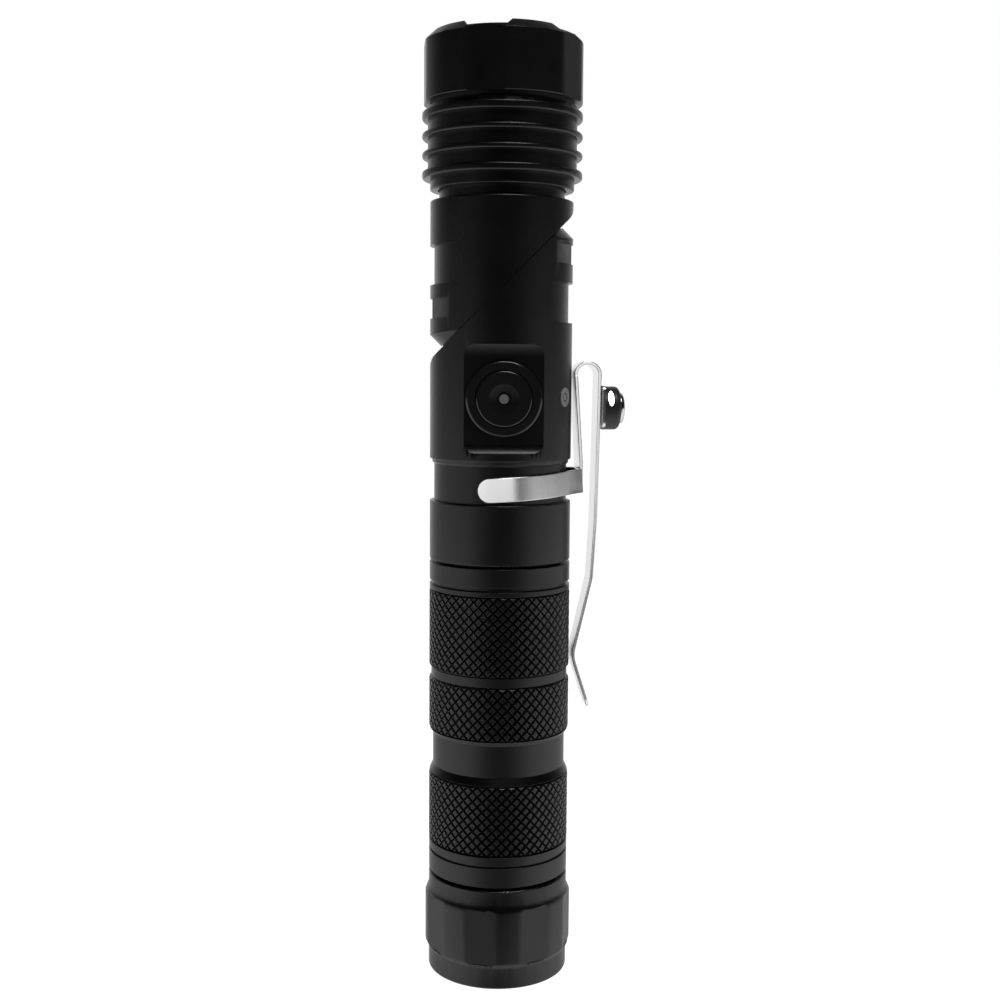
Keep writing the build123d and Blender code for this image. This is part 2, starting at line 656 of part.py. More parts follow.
def clip_collar(strip):
    """Open spring collar that snaps in the housing's groove, with the inner leaf of the clip."""
    inner_r = CLIP_GROOVE_R + 0.18
    low, high = COLLAR_Z

    def loop(offset):
        """The collar's outline at an offset from its inner face: a circle drawn out to a flat back."""
        radius = inner_r + offset
        mid_r = inner_r + STRIP / 2
        half_flat = 3.0
        back = Vector(CLIP_BACK_X, half_flat)
        lean = acos(mid_r / back.length) + atan2(half_flat, CLIP_BACK_X)
        back_x = CLIP_BACK_X - STRIP / 2 + offset
        back_y = (radius - back_x * cos(lean)) / sin(lean)
        touch = (radius * cos(lean), radius * sin(lean))
        corners = [(0, 0), (touch[0], -touch[1]), (back_x, -back_y), (back_x, back_y), touch]
        return Circle(radius) + make_face(Polyline(*corners, close=True))

    ring = loop(STRIP) - loop(0)
    collar = extrude(Pos(0, 0, low) * ring, high - low)
    round_r = (high - low) / 2
    reach = COLLAR_WRAP - degrees(round_r / inner_r)
    keep = Part()
    for sign in (-1, 1):
        direction = Rot(0, 0, sign * reach)
        keep += direction * Pos(8, 0, (low + high) / 2) * Rot(0, 90, 0) * Cylinder(round_r, 10, align=BASE)
    span = Polyline(
        (0, 0),
        (40 * cos(radians(reach)), -40 * sin(radians(reach))),
        (40, -60),
        (40, 60),
        (40 * cos(radians(reach)), 40 * sin(radians(reach))),
        close=True,
    )
    keep += extrude(Pos(0, 0, low - 1) * make_face(span), high - low + 2)
    middle = Pos(0, 0, (low + high) / 2)
    collar = middle * Rot(0, -COLLAR_TILT, 0) * middle.inverse() * (collar & keep)
    return collar + (strip & inner_side(-HOOP_GAP / 2))


def clip_leaf(strip):
    """Outer leaf of the clip, from the top of the hoop to the tip."""
    return strip - inner_side(HOOP_GAP / 2)


def clip_parts():
    """The pocket clip, its backplate and the magnet stud on it, all turned to where the clip hangs."""
    yaw = Rot(0, 0, CLIP_YAW)
    strip = clip_strip()
    write(yaw * clip_collar(strip), "clip_collar")
    write(yaw * clip_leaf(strip), "clip_leaf")
    plate_thickness = 0.5
    plate = Box(plate_thickness, 8.4, 7.6, align=(Align.MIN, Align.CENTER, Align.CENTER))
    plate = fillet(plate.edges().filter_by(Axis.X), 1.0)
    plate = Pos(STUD_X - plate_thickness - 0.05, 0, STUD_Z + 0.35) * plate
    write(yaw * plate, "clip_backplate")
    stud_place = Pos(STUD_X, 0, STUD_Z) * Rot(0, 90, 0)
    holder = Cylinder(STUD_R, 3.1, align=BASE)
    holder = fillet(holder.edges().group_by(Axis.Z)[-1], 0.9)
    holder -= Pos(0, 0, 0.9) * Cylinder(3.0, 5, align=BASE)
    pin_place = Rot(0, 0, PIN_BEARING) * Pos(STUD_R + 0.02, 0, 1.1) * Rot(0, -90, 0)
    pin_depth = 0.85
    holder -= pin_place * extrude(Ellipse(0.6, 1.6), pin_depth + 0.05)
    write(yaw * stud_place * holder, "clip_stud")
    magnet = Pos(0, 0, 0.92) * Cylinder(2.95, 3.0, align=BASE)
    magnet = fillet(magnet.edges().group_by(Axis.Z)[-1], 0.7)
    write(yaw * stud_place * magnet, "stud_magnet")
    pin = pin_place * extrude(Ellipse(0.55, 1.55), pin_depth)
    write(yaw * stud_place * pin, "stud_pin")


os.makedirs("parts", exist_ok=True)
write(switch_housing(), "switch_housing")
switch_parts()
charge_contacts()
write(swivel_upper(), "swivel_upper")
swivel_parts()
slip_washer()
led_leads()
battery_tube()
battery()
driver_parts()
tail_cap()
write(finned_head(), "finned_head")
write(bezel_ring(), "bezel_ring")
lamp_parts()
neck_seal()
clip_parts()
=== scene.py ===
# %% [markdown]
# # A twist-head pocket flashlight
# The light is built round a frame of finished CAD parts, in metres, standing on its tail at the origin.
# The frame already has the right sizes and joints. What is left is what the eye judges: the cut knurling,
# the bent spring clip with its soft edges, the glossy switch, the black anodised skin and the studio light.

# %% Load the frame
import json
import math

import bmesh
import bpy
from mathutils import Matrix, Vector


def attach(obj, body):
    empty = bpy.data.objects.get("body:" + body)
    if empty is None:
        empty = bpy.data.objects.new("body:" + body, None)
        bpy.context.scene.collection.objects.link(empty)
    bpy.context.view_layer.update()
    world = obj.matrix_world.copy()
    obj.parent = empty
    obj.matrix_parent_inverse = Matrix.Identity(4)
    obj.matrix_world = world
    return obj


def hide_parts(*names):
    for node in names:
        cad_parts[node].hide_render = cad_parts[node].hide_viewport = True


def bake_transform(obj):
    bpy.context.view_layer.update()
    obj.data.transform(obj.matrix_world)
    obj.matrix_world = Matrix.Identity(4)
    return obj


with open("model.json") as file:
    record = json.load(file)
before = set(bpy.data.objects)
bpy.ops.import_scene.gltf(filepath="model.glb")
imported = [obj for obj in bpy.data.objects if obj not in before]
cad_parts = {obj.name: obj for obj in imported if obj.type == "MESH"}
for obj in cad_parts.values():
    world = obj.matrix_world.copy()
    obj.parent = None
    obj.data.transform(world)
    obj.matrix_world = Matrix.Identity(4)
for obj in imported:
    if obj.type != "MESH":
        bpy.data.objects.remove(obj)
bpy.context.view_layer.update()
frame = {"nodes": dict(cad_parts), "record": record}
NODES = frame["nodes"]
MM = 0.001

# %% [markdown]
# ## Camera
# A product picture of a small object is taken with a standard lens from about a quarter of a metre, a little
# above it and looking slightly down. The camera is set by those three facts, so the object's own sizes give
# the right perspective: the rings near the top curve one way and those at the foot the other way.

# %% Camera
CAMERA_DISTANCE = 253.7 * MM
CAMERA_HEIGHT = 112.2 * MM
CAMERA_PITCH = math.radians(5.38)
CAMERA_TURN = math.radians(3.0)
CAMERA_ROLL = math.radians(0.39)
camera_data = bpy.data.cameras.new("camera")
camera_data.lens = 49.49
camera_data.sensor_width = 36.0
camera_data.clip_start = 0.01
camera = bpy.data.objects.new("camera", camera_data)
bpy.context.scene.collection.objects.link(camera)
camera.location = (
    -CAMERA_DISTANCE * math.sin(CAMERA_TURN),
    -CAMERA_DISTANCE * math.cos(CAMERA_TURN),
    CAMERA_HEIGHT,
)
aim = Matrix.Rotation(-CAMERA_TURN, 4, "Z") @ Matrix.Rotation(math.pi / 2 - CAMERA_PITCH, 4, "X")
camera.rotation_euler = (aim @ Matrix.Rotation(CAMERA_ROLL, 4, "Z")).to_euler()
bpy.context.scene.camera = camera
print("camera at", [round(v, 3) for v in camera.location])

# %% [markdown]
# ## Studio
# Black anodising shows almost nothing of its own colour. What draws its round shape is the picture of the
# room in its skin: two broad pale screens low down on both sides, and a dark gap between them where the
# camera stands. Higher up the screens end, so the head is nearly black and only its outline is lit. The sky
# is that room: its brightness depends on the direction alone, and a camera ray sees plain white.

# %% Sky
# brightness against how far back a direction points: -1 is the camera's side, 1 is straight behind
LOW_SKY = [
    (-1.0, 0.05), (-0.93, 0.08), (-0.72, 0.60), (-0.50, 1.25),
    (0.0, 1.1), (0.5, 0.55), (0.85, 0.45), (1.0, 1.3),
]
HIGH_SKY = [(-1.0, 0.0), (-0.1, 0.0), (0.3, 0.04), (0.6, 0.22), (0.85, 0.60), (1.0, 1.3)]
SCREEN_EDGE = (-0.13, 0.02)  # how far up a direction points where the screens fade out
world = bpy.data.worlds.new("studio_sky")
world.use_nodes = True
bpy.context.scene.world = world
sky_nodes = world.node_tree.nodes
sky_links = world.node_tree.links
sky_nodes.clear()
direction = sky_nodes.new("ShaderNodeTexCoord")
split_direction = sky_nodes.new("ShaderNodeSeparateXYZ")
sky_links.new(direction.outputs["Generated"], split_direction.inputs["Vector"])


def sky_ramp(stops):
    """Brightness by how far back a direction points, as a colour ramp over -1 to 1."""
    spread = sky_nodes.new("ShaderNodeMapRange")
    spread.inputs["From Min"].default_value = -1.0
    sky_links.new(split_direction.outputs["Y"], spread.inputs["Value"])
    ramp = sky_nodes.new("ShaderNodeValToRGB")
    ramp.color_ramp.interpolation = "B_SPLINE"
    points = ramp.color_ramp.elements
    while len(points) < len(stops):
        points.new(0.5)
    for point, (back, level) in zip(points, stops):
        point.position = (back + 1) / 2
        point.color = (level, level, level, 1)
    sky_links.new(spread.outputs["Result"], ramp.inputs["Fac"])
    return ramp.outputs["Color"]


height_mix = sky_nodes.new("ShaderNodeMapRange")
height_mix.interpolation_type = "SMOOTHSTEP"
height_mix.inputs["From Min"].default_value = SCREEN_EDGE[0]
height_mix.inputs["From Max"].default_value = SCREEN_EDGE[1]
sky_links.new(split_direction.outputs["Z"], height_mix.inputs["Value"])
room = sky_nodes.new("ShaderNodeMix")
room.data_type = "RGBA"
sky_links.new(height_mix.outputs["Result"], room.inputs["Factor"])
sky_links.new(sky_ramp(LOW_SKY), room.inputs["A"])
sky_links.new(sky_ramp(HIGH_SKY), room.inputs["B"])
lit = sky_nodes.new("ShaderNodeBackground")
sky_links.new(room.outputs["Result"], lit.inputs["Color"])
seen = sky_nodes.new("ShaderNodeBackground")
seen.inputs["Color"].default_value = (1, 1, 1, 1)
ray = sky_nodes.new("ShaderNodeLightPath")
choose = sky_nodes.new("ShaderNodeMixShader")
sky_links.new(ray.outputs["Is Camera Ray"], choose.inputs["Fac"])
sky_links.new(lit.outputs["Background"], choose.inputs[1])
sky_links.new(seen.outputs["Background"], choose.inputs[2])
sky_links.new(choose.outputs["Shader"], sky_nodes.new("ShaderNodeOutputWorld").inputs["Surface"])
bpy.context.scene.view_settings.view_transform = "Standard"
print("sky of", len(LOW_SKY), "low and", len(HIGH_SKY), "high stops")

# %% [markdown]
# One soft lamp overhead draws the upper edges. The floor is white paper that glows by itself, so that it
# meets the sky with no line between them. It is hidden from reflections, because a black tube would show it
# as a hard pale half.

# %% Lamp and floor
FLOOR_GLOW = 0.97


def soft_box(name, bearing, distance, height, width, tall, power):
    """An area light on a circle round the object, facing its middle."""
    data = bpy.data.lights.new(name, "AREA")
    data.shape = "RECTANGLE"
    data.size = width
    data.size_y = tall
    data.energy = power
    light = bpy.data.objects.new(name, data)
    angle = math.radians(bearing)
    light.location = (distance * math.sin(angle), -distance * math.cos(angle), height)
    aim = Vector((0, 0, 0.1)) - light.location
    light.rotation_euler = aim.to_track_quat("-Z", "Y").to_euler()
    bpy.context.scene.collection.objects.link(light)
    return light


soft_box("top_box", 20, 0.30, 0.62, 0.30, 0.20, 1.4)
floor_mesh = bmesh.new()
bmesh.ops.create_grid(floor_mesh, x_segments=1, y_segments=1, size=6.0)
floor_data = bpy.data.meshes.new("floor")
floor_mesh.to_mesh(floor_data)
floor_mesh.free()
floor = bpy.data.objects.new("floor", floor_data)
bpy.context.scene.collection.objects.link(floor)
floor.visible_glossy = False
floor.visible_diffuse = False
floor.visible_shadow = False
paper = bpy.data.materials.new("studio_paper")
paper.use_nodes = True
paper_shader = paper.node_tree.nodes["Principled BSDF"]
paper_shader.inputs["Base Color"].default_value = (0.5, 0.5, 0.5, 1)
paper_shader.inputs["Roughness"].default_value = 0.9
paper_shader.inputs["Specular IOR Level"].default_value = 0.0
paper_shader.inputs["Emission Color"].default_value = (1, 1, 1, 1)
paper_shader.inputs["Emission Strength"].default_value = FLOOR_GLOW
floor_data.materials.append(paper)

# %% [markdown]
# ## Effects that several finishes share
# A node group is a small machine with named knobs. The grain group gives a fine bead-blasted or cast surface:
# it puts out a normal and a small change of roughness. The brushed group stretches its noise along one
# direction, as a belt or a rolling mill does.

# %% Node groups
def new_group(name, inputs, outputs):
    """A node group with its sockets, and its input and output nodes."""
    group = bpy.data.node_groups.new(name, "ShaderNodeTree")
    for socket_name, kind, value in inputs:
        socket = group.interface.new_socket(name=socket_name, in_out="INPUT", socket_type=kind)
        if value is not None:
            socket.default_value = value
    for socket_name, kind in outputs:
        group.interface.new_socket(name=socket_name, in_out="OUTPUT", socket_type=kind)
    return group, group.nodes.new("NodeGroupInput"), group.nodes.new("NodeGroupOutput")


def object_place(nodes):
    """The Object coordinates of the piece."""
    return nodes.new("ShaderNodeTexCoord").outputs["Object"]


def make_grain_group():
    """Fine even grain: bump and roughness from two sizes of noise."""
    group, knobs, result = new_group(
        "fine_grain",
        [
            ("Size", "NodeSocketFloat", 5000.0),
            ("Depth", "NodeSocketFloat", 0.1),
            ("Roughness", "NodeSocketFloat", 0.4),
            ("Spread", "NodeSocketFloat", 0.1),
            ("Tint A", "NodeSocketColor", (0.02, 0.02, 0.02, 1)),
            ("Tint B", "NodeSocketColor", (0.03, 0.03, 0.03, 1)),
        ],
        [
            ("Color", "NodeSocketColor"),
            ("Roughness", "NodeSocketFloat"),
            ("Normal", "NodeSocketVector"),
        ],
    )
    nodes, links = group.nodes, group.links
    place = object_place(nodes)
    fine = nodes.new("ShaderNodeTexNoise")
    fine.inputs["Detail"].default_value = 3.0
    links.new(place, fine.inputs["Vector"])
    links.new(knobs.outputs["Size"], fine.inputs["Scale"])
    broad = nodes.new("ShaderNodeTexNoise")
    broad.inputs["Scale"].default_value = 160.0
    broad.inputs["Detail"].default_value = 4.0
    links.new(place, broad.inputs["Vector"])
    bump = nodes.new("ShaderNodeBump")
    bump.inputs["Distance"].default_value = 0.00005
    links.new(knobs.outputs["Depth"], bump.inputs["Strength"])
    links.new(fine.outputs["Fac"], bump.inputs["Height"])
    change = nodes.new("ShaderNodeMath")
    change.operation = "MULTIPLY_ADD"
    centre = nodes.new("ShaderNodeMath")
    centre.operation = "SUBTRACT"
    centre.inputs[1].default_value = 0.5
    links.new(broad.outputs["Fac"], centre.inputs[0])
    links.new(centre.outputs[0], change.inputs[0])
    links.new(knobs.outputs["Spread"], change.inputs[1])
    links.new(knobs.outputs["Roughness"], change.inputs[2])
    tint = nodes.new("ShaderNodeMix")
    tint.data_type = "RGBA"
    links.new(broad.outputs["Fac"], tint.inputs["Factor"])
    links.new(knobs.outputs["Tint A"], tint.inputs["A"])
    links.new(knobs.outputs["Tint B"], tint.inputs["B"])
    links.new(tint.outputs["Result"], result.inputs["Color"])
    links.new(change.outputs[0], result.inputs["Roughness"])
    links.new(bump.outputs["Normal"], result.inputs["Normal"])
    return group


def make_brushed_group():
    """Long fine scratches along one direction, set by how far each axis is stretched."""
    group, knobs, result = new_group(
        "brushed_lines",
        [
            ("Stretch", "NodeSocketVector", (1.0, 1.0, 0.05)),
            ("Size", "NodeSocketFloat", 6000.0),
            ("Depth", "NodeSocketFloat", 0.1),
            ("Roughness", "NodeSocketFloat", 0.25),
            ("Spread", "NodeSocketFloat", 0.15),
            ("Tint A", "NodeSocketColor", (0.6, 0.6, 0.6, 1)),
            ("Tint B", "NodeSocketColor", (0.7, 0.7, 0.7, 1)),
        ],
        [
            ("Color", "NodeSocketColor"),
            ("Roughness", "NodeSocketFloat"),
            ("Normal", "NodeSocketVector"),
        ],
    )
    nodes, links = group.nodes, group.links
    stretch = nodes.new("ShaderNodeVectorMath")
    stretch.operation = "MULTIPLY"
    links.new(object_place(nodes), stretch.inputs[0])
    links.new(knobs.outputs["Stretch"], stretch.inputs[1])
    lines = nodes.new("ShaderNodeTexNoise")
    lines.inputs["Detail"].default_value = 4.0
    links.new(stretch.outputs["Vector"], lines.inputs["Vector"])
    links.new(knobs.outputs["Size"], lines.inputs["Scale"])
    bump = nodes.new("ShaderNodeBump")
    bump.inputs["Distance"].default_value = 0.00004
    links.new(knobs.outputs["Depth"], bump.inputs["Strength"])
    links.new(lines.outputs["Fac"], bump.inputs["Height"])
    centre = nodes.new("ShaderNodeMath")
    centre.operation = "SUBTRACT"
    centre.inputs[1].default_value = 0.5
    change = nodes.new("ShaderNodeMath")
    change.operation = "MULTIPLY_ADD"
    links.new(lines.outputs["Fac"], centre.inputs[0])
    links.new(centre.outputs[0], change.inputs[0])
    links.new(knobs.outputs["Spread"], change.inputs[1])
    links.new(knobs.outputs["Roughness"], change.inputs[2])
    tint = nodes.new("ShaderNodeMix")
    tint.data_type = "RGBA"
    links.new(lines.outputs["Fac"], tint.inputs["Factor"])
    links.new(knobs.outputs["Tint A"], tint.inputs["A"])
    links.new(knobs.outputs["Tint B"], tint.inputs["B"])
    links.new(tint.outputs["Result"], result.inputs["Color"])
    links.new(change.outputs[0], result.inputs["Roughness"])
    links.new(bump.outputs["Normal"], result.inputs["Normal"])
    return group


GRAIN = make_grain_group()
BRUSHED = make_brushed_group()
print("node groups", GRAIN.name, BRUSHED.name)

# %% [markdown]
# ## Finishes
# Each finish is a Principled shader fed by one of the two groups. Metals set Metallic to one on the shader
# itself; anodising, paint, rubber and plastics are left as dielectrics, because the light that they throw
# back comes off a clear skin over a dark or coloured base.

# %% Finish helpers
def shader_of(material):
    """The Principled shader of a material."""
    return material.node_tree.nodes["Principled BSDF"]


def finish(name, group, metallic=0.0, coat=0.0, coat_roughness=0.05, specular=0.5, **values):
    """A material whose colour, roughness and normal come from a group set with these values."""
    material = bpy.data.materials.new(name)
    material.use_nodes = True
    nodes, links = material.node_tree.nodes, material.node_tree.links
    shader = shader_of(material)
    effect = nodes.new("ShaderNodeGroup")
    effect.node_tree = group
    for key, value in values.items():
        effect.inputs[key.replace("_", " ")].default_value = value
    links.new(effect.outputs["Color"], shader.inputs["Base Color"])
    links.new(effect.outputs["Roughness"], shader.inputs["Roughness"])
    links.new(effect.outputs["Normal"], shader.inputs["Normal"])
    shader.inputs["Metallic"].default_value = metallic
    shader.inputs["Coat Weight"].default_value = coat
    shader.inputs["Coat Roughness"].default_value = coat_roughness
    shader.inputs["Specular IOR Level"].default_value = specular
    return material


def grey(level, alpha=1.0):
    """A neutral colour."""
    return (level, level, level, alpha)


# %% Finishes
anodised = finish(
    "black_anodising", GRAIN, specular=0.5,
    Size=6500.0, Depth=0.55, Roughness=0.31, Spread=0.10, Tint_A=grey(0.0015), Tint_B=grey(0.003),
)
FINISHES = {
    "anodised_black": anodised,
    "spring_steel": finish(
        "polished_spring_steel", BRUSHED, metallic=1.0,
        Stretch=(1.0, 1.0, 0.04), Size=5200.0, Depth=0.10, Roughness=0.24, Spread=0.14,
        Tint_A=grey(0.76), Tint_B=grey(0.90),
    ),
    "stud_black": finish(
        "satin_black_stud", GRAIN, Size=7000.0, Depth=0.3, Roughness=0.42, Spread=0.1,
        Tint_A=grey(0.014), Tint_B=grey(0.022),
    ),
    "nickel": finish(
        "bright_nickel", BRUSHED, metallic=1.0, Stretch=(1.0, 1.0, 0.3), Size=3000.0, Depth=0.05,
        Roughness=0.16, Spread=0.08, Tint_A=(0.70, 0.69, 0.66, 1), Tint_B=(0.78, 0.77, 0.74, 1),
    ),
    "contact_metal": finish(
        "satin_contact", BRUSHED, metallic=1.0, Stretch=(1.0, 1.0, 1.0), Size=4000.0, Depth=0.08,
        Roughness=0.34, Spread=0.1, Tint_A=grey(0.50), Tint_B=grey(0.60),
    ),
    "gold_spring": finish(
        "gold_plated_wire", BRUSHED, metallic=1.0, Size=3000.0, Depth=0.05, Roughness=0.25, Spread=0.1,
        Tint_A=(0.80, 0.58, 0.24, 1), Tint_B=(0.86, 0.66, 0.32, 1),
    ),
    "stainless": finish(
        "plain_stainless", BRUSHED, metallic=1.0, Size=3000.0, Depth=0.08, Roughness=0.3, Spread=0.12,
        Tint_A=grey(0.52), Tint_B=grey(0.62),
    ),
    "black_polymer": finish(
        "black_moulding", GRAIN, Size=5000.0, Depth=0.2, Roughness=0.5, Spread=0.1,
        Tint_A=grey(0.020), Tint_B=grey(0.028),
    ),
    "switch_gloss": finish(
        "glossy_switch", GRAIN, coat=0.3, coat_roughness=0.08, Size=2500.0, Depth=0.05, Roughness=0.2,
        Spread=0.08, Tint_A=grey(0.008), Tint_B=grey(0.012),
    ),
    "switch_window": finish(
        "smoked_window", GRAIN, coat=0.6, Size=2500.0, Depth=0.05, Roughness=0.2, Spread=0.06,
        Tint_A=grey(0.16), Tint_B=grey(0.20),
    ),
    "plunger_polymer": finish(
        "plunger_moulding", GRAIN, Size=4000.0, Depth=0.1, Roughness=0.45, Spread=0.1,
        Tint_A=grey(0.42), Tint_B=grey(0.50),
    ),
    "rubber_seal": finish(
        "black_rubber", GRAIN, specular=0.35, Size=4500.0, Depth=0.15, Roughness=0.55, Spread=0.1,
        Tint_A=grey(0.012), Tint_B=grey(0.020),
    ),
    "circuit_board": finish(
        "green_solder_mask", GRAIN, Size=3000.0, Depth=0.1, Roughness=0.3, Spread=0.08,
        Tint_A=(0.015, 0.10, 0.04, 1), Tint_B=(0.025, 0.15, 0.06, 1),
    ),
    "lamp_board": finish(
        "white_solder_mask", GRAIN, Size=3000.0, Depth=0.1, Roughness=0.4, Spread=0.08,
        Tint_A=grey(0.72), Tint_B=grey(0.80),
    ),
    "brass_ring": finish(
        "turned_brass", BRUSHED, metallic=1.0, Stretch=(0.1, 0.1, 1.0), Size=4000.0, Depth=0.12,
        Roughness=0.3, Spread=0.12, Tint_A=(0.62, 0.45, 0.18, 1), Tint_B=(0.72, 0.54, 0.24, 1),
    ),
    "reflector_chrome": finish(
        "orange_peel_reflector", GRAIN, metallic=1.0, Size=900.0, Depth=0.35, Roughness=0.06, Spread=0.02,
        Tint_A=grey(0.86), Tint_B=grey(0.90),
    ),
    "white_polymer": finish(
        "white_moulding", GRAIN, Size=3000.0, Depth=0.08, Roughness=0.45, Spread=0.08,
        Tint_A=grey(0.74), Tint_B=grey(0.80),
    ),
    "led_phosphor": finish(
        "led_phosphor", GRAIN, coat=0.8, Size=6000.0, Depth=0.08, Roughness=0.35, Spread=0.05,
        Tint_A=(0.80, 0.66, 0.12, 1), Tint_B=(0.88, 0.76, 0.20, 1),
    ),
    "cell_can": finish(
        "nickel_plated_can", BRUSHED, metallic=1.0, Size=3000.0, Depth=0.04, Roughness=0.28, Spread=0.1,
        Tint_A=grey(0.62), Tint_B=grey(0.70),
    ),
    "cell_wrap": finish(
        "cell_shrink_wrap", GRAIN, coat=0.3, Size=1500.0, Depth=0.1, Roughness=0.3, Spread=0.08,
        Tint_A=(0.03, 0.09, 0.24, 1), Tint_B=(0.04, 0.12, 0.30, 1),
    ),
    "lead_insulation": finish(
        "silicone_lead", GRAIN, Size=3000.0, Depth=0.1, Roughness=0.5, Spread=0.1,
        Tint_A=(0.35, 0.02, 0.02, 1), Tint_B=(0.45, 0.03, 0.03, 1),
    ),
}


def make_lens_glass():
    """Coated glass: fully transmissive, with faint wipe marks in its roughness."""
    material = bpy.data.materials.new("coated_lens_glass")
    material.use_nodes = True
    nodes, links = material.node_tree.nodes, material.node_tree.links
    shader = shader_of(material)
    shader.inputs["Base Color"].default_value = (0.97, 0.98, 1.0, 1)
    shader.inputs["Transmission Weight"].default_value = 1.0
    shader.inputs["IOR"].default_value = 1.47
    smear = nodes.new("ShaderNodeTexNoise")
    smear.inputs["Scale"].default_value = 220.0
    smear.inputs["Detail"].default_value = 5.0
    links.new(object_place(nodes), smear.inputs["Vector"])
    span = nodes.new("ShaderNodeMapRange")
    span.inputs["To Min"].default_value = 0.0
    span.inputs["To Max"].default_value = 0.05
    links.new(smear.outputs["Fac"], span.inputs["Value"])
    links.new(span.outputs["Result"], shader.inputs["Roughness"])
    return material


FINISHES["lens_glass"] = make_lens_glass()
print("finishes", len(FINISHES))

# %% [markdown]
# ## Dress the CAD parts
# The record says which material slot each node belongs to, so one loop gives every part its finish. The
# exact parts keep their shape. Their triangles are loose, so a Weld modifier joins them before a small bevel
# softens the machined edges. Joined triangles that are long and thin shade in streaks, and a Weighted Normal
# modifier cures that by letting the large faces decide.

# %% Dress the CAD parts
SLOT_OF = {part["node"]: part["material_slot"] for part in frame["record"]["subparts"]}
for node, thing in NODES.items():
    thing.data.materials.clear()
    thing.data.materials.append(FINISHES[SLOT_OF[node]])

WELD_REACH = 0.001
EDGE_BREAK = 0.08
for node in ("switch_housing", "swivel_upper", "finned_head", "bezel_ring", "tail_cap"):
    part = NODES[node]
    weld = part.modifiers.new("weld", "WELD")
    weld.merge_threshold = WELD_REACH * MM
    soften = part.modifiers.new("soften", "BEVEL")
    soften.width = EDGE_BREAK * MM
    soften.segments = 2
    soften.limit_method = "ANGLE"
    soften.angle_limit = math.radians(30)
    soften.harden_normals = True
    soften.use_clamp_overlap = True
    even = part.modifiers.new("even", "WEIGHTED_NORMAL")
    even.weight = 90
print("dressed", len(NODES), "parts")

# %% [markdown]
# ## Turned pieces
# A turned piece is one outline spun round the axis. The outline goes down once as a chain of points and the
# spin operator sweeps it, so every ring of the mesh is exactly round. Corners are left sharp in the outline:
# a Bevel modifier rounds them all by the same small amount, as a lathe tool's nose does.

# %% Spin helper
RING_STEPS = 160


def new_piece(name, shape, body, slot_name, *stands_for):
    """Links a finished bmesh as a piece that rides on a body and takes a slot's finish."""
    bmesh.ops.recalc_face_normals(shape, faces=shape.faces)
    mesh = bpy.data.meshes.new(name)
    shape.to_mesh(mesh)
    shape.free()
    piece = bpy.data.objects.new(name, mesh)
    bpy.context.scene.collection.objects.link(piece)
    mesh.materials.append(FINISHES[slot_name])
    if body:
        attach(piece, body)
    if stands_for:
        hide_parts(*stands_for)
    return piece


def spin_outline(points, steps=RING_STEPS):
    """A closed ring turned from (radius, height) points given in millimetres."""
    shape = bmesh.new()
    corners = [shape.verts.new((r * MM, 0, z * MM)) for r, z in points]
    edges = [shape.edges.new((a, b)) for a, b in zip(corners, corners[1:] + corners[:1])]
    bmesh.ops.spin(
        shape, geom=corners + edges, axis=(0, 0, 1), cent=(0, 0, 0), angle=2 * math.pi,
        steps=steps, use_merge=True, use_duplicate=False,
    )
    bmesh.ops.remove_doubles(shape, verts=shape.verts, dist=0.0005 * MM)
    return shape


def round_corners(piece, width, segments=2, angle=24):
    """Rounds the sharp corners of a piece and shades it smooth."""
    for face in piece.data.polygons:
        face.use_smooth = True
    bevel = piece.modifiers.new("corners", "BEVEL")
    bevel.width = width * MM
    bevel.segments = segments
    bevel.limit_method = "ANGLE"
    bevel.angle_limit = math.radians(angle)
    bevel.harden_normals = True
    return piece


# %% [markdown]
# ## Battery tube
# The tube is one aluminium bar turned down to rings and bands. Three bands carry knurling, and there the
# outline is cut down to the floor of the knurl, so that the knurled rings can sit in it as their own pieces.

# %% Battery tube
BODY_R = 13.0
BORE_R = 9.6
NECK_R = 11.4
KNURL_FLOOR = 12.55
SMOOTH_R = 12.3
KNURL_BANDS = {"lower": (24.75, 37.55), "middle": (45.95, 55.55), "upper": (57.6, 72.0)}
tube_outline = [
    (BORE_R, 8.6), (NECK_R, 8.6), (NECK_R, 19.0),
    (BODY_R, 19.0), (BODY_R, 22.6), (12.6, 22.65), (12.6, 23.05), (BODY_R, 23.1),
    (BODY_R, 24.6), (KNURL_FLOOR, 24.7), (KNURL_FLOOR, 37.6), (12.95, 37.7), (SMOOTH_R, 39.1),
    (SMOOTH_R, 45.0), (12.9, 45.8), (KNURL_FLOOR, 45.9), (KNURL_FLOOR, 55.6), (12.65, 55.7), (12.65, 57.4),
    (KNURL_FLOOR, 57.5), (KNURL_FLOOR, 72.05), (BODY_R, 72.1),
    (BODY_R, 73.0), (12.45, 73.05), (12.45, 73.75), (BODY_R, 73.8), (BODY_R, 77.1),
    (NECK_R, 77.1), (NECK_R, 86.4), (BORE_R, 86.4),
]
tube = new_piece("tube_body", spin_outline(tube_outline), "housing", "anodised_black", "battery_tube")
round_corners(tube, 0.1)
print("tube body", len(tube.data.polygons), "faces")

# %% [markdown]
# ## Knurling
# A knurling tool rolls two crossed sets of grooves into the bar and leaves rows of little diamonds. Unrolled,
# that is a grid of cells with a diamond on every corner and every centre. So the band starts as a plain ring
# of cells, each cell is poked in its middle, and the straight edges are dissolved: what is left between the
# diagonals is the diamonds. Two insets then raise each one with sloping flanks and a slightly domed top.

# %% Knurled bands
KNURL_AROUND = 45
KNURL_PITCH = 1.8
KNURL_GROOVE = 0.13
KNURL_HEIGHT = 0.36
KNURL_DOME = 0.12
KNURL_RIM_DEPTH = 0.2


